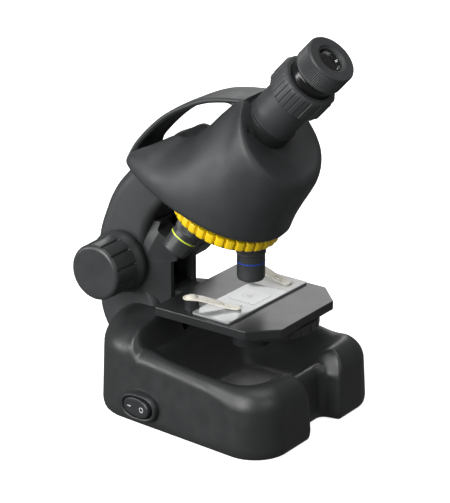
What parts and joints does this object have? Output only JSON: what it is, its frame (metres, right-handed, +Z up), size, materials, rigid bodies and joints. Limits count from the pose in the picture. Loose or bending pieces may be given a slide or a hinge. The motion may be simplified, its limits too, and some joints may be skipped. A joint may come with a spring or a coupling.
{
  "type": "toy microscope",
  "caption": "Toy light microscope with a carrying handle, focus knobs that lift the stage, a turning objective turret, a filter wheel, slide clips and a slanted eyepiece.",
  "frame": {"origin": "straight below the upright objective, on the optical axis, at table height (the base's underside is 0.8 mm above it)", "axes": "+Z up, -Y towards the user and the eyepiece, +Y towards the arm, -X the side with the power switch"},
  "size_m": [0.1221, 0.1583, 0.2282],
  "materials": {
    "charcoal_plastic": "fine satin texture",
    "textured_grip": "coarse matt texture",
    "black_plastic": "matt",
    "yellow_plastic": "gloss",
    "polished_steel": "polished",
    "glass": "clear",
    "filter_gels": "coloured clear",
    "white_paper": "matt",
    "rubber": "matt",
    "blue_paint": "gloss",
    "green_paint": "gloss",
    "red_paint": "gloss",
    "nylon": "satin",
    "cell_wrap": "gloss",
    "warm_white_led": "clear"
  },
  "bodies": {
    "frame": {"base_shell": "charcoal_plastic", "base_cover": "black_plastic", "rubber_feet": "rubber", "base_screws": "polished_steel", "battery_door": "black_plastic", "door_screw": "polished_steel", "battery_tray": "black_plastic", "batteries": "cell_wrap", "battery_contacts": "polished_steel", "switch_bezel": "charcoal_plastic", "arm_shell_left": "charcoal_plastic", "arm_shell_right": "charcoal_plastic", "arm_screws": "polished_steel", "shaft_bushes": "nylon", "guide_rods": "polished_steel", "rod_brackets": "black_plastic", "turret_mount": "black_plastic", "detent_spring": "polished_steel", "turret_screw": "polished_steel", "hood_shell": "charcoal_plastic", "prism": "glass", "prism_holder": "black_plastic", "carry_handle": "textured_grip", "eyepiece_tube": "charcoal_plastic", "tube_collar": "charcoal_plastic"},
    "stage": {"stage_plate": "charcoal_plastic", "stage_carriage": "black_plastic", "focus_rack": "nylon", "clip_posts": "black_plastic", "clip_screws": "polished_steel", "lamp_housing": "black_plastic", "lamp_lens": "glass", "led_lamp": "warm_white_led", "wheel_pivot": "black_plastic"},
    "specimen": {"specimen_slide": "glass", "slide_label": "white_paper", "cover_glass": "glass"},
    "focus": {"focus_shaft": "polished_steel", "pinion_gear": "nylon", "focus_knob_left": "textured_grip", "focus_knob_right": "textured_grip"},
    "turret": {"turret_disc": "black_plastic", "turret_ring": "yellow_plastic", "objective_high": "black_plastic", "objective_mid": "black_plastic", "objective_low": "black_plastic", "band_high": "blue_paint", "band_mid": "green_paint", "band_low": "red_paint", "objective_lenses": "glass"},
    "clip_left_arm": {"clip_left": "polished_steel"},
    "clip_right_arm": {"clip_right": "polished_steel"},
    "wheel": {"filter_wheel": "black_plastic", "colour_filters": "filter_gels"},
    "clamp": {"clamp_ring": "textured_grip"},
    "eyepiece": {"eyepiece_barrel": "black_plastic", "eyepiece_cap": "textured_grip", "eye_lens": "glass", "field_lens": "glass"},
    "rocker": {"power_rocker": "black_plastic"}
  },
  "joints": [
    {"name": "stage_lift", "type": "slide", "parent": "frame", "child": "stage", "axis": [0, 0, 1], "range_m": [-0.008, 0.01]},
    {"name": "focus_turn", "type": "hinge", "parent": "frame", "child": "focus", "pos_m": [0, 0.075, 0.0815], "axis": [1, 0, 0], "range_deg": [-125, 100]},
    {"name": "specimen_shift", "type": "slide", "parent": "stage", "child": "specimen", "axis": [0.9998, -0.0209, 0], "range_m": [-0.008, 0.006]},
    {"name": "clip_left_turn", "type": "hinge", "parent": "stage", "child": "clip_left_arm", "pos_m": [-0.0305, 0.019, 0.0736], "axis": [0, 0, 1], "range_deg": [-50, 15]},
    {"name": "clip_right_turn", "type": "hinge", "parent": "stage", "child": "clip_right_arm", "pos_m": [0.0305, 0.019, 0.0736], "axis": [0, 0, 1], "range_deg": [-15, 50]},
    {"name": "filter_wheel_turn", "type": "hinge", "parent": "stage", "child": "wheel", "pos_m": [0, -0.011, 0.0595], "axis": [0, 0, 1], "continuous": true},
    {"name": "turret_turn", "type": "hinge", "parent": "frame", "child": "turret", "pos_m": [0, 0.0163, 0.1141], "axis": [0, -0.3486, 0.9373], "continuous": true},
    {"name": "clamp_ring_turn", "type": "hinge", "parent": "frame", "child": "clamp", "pos_m": [0, -0.03392, 0.19921], "axis": [0, -0.682, 0.7314], "range_deg": [0, 60]},
    {"name": "eyepiece_slide", "type": "slide", "parent": "frame", "child": "eyepiece", "axis": [0, -0.682, 0.7314], "range_m": [0, 0.025]},
    {"name": "power_rocker_tip", "type": "hinge", "parent": "frame", "child": "rocker", "pos_m": [-0.056, 0.037, 0.0116], "axis": [0, 0, 1], "range_deg": [0, 16]}
  ],
  "couplings": [
    {"joint": "focus_turn", "follows": "stage_lift", "rad_per_m": -208.33}
  ]
}
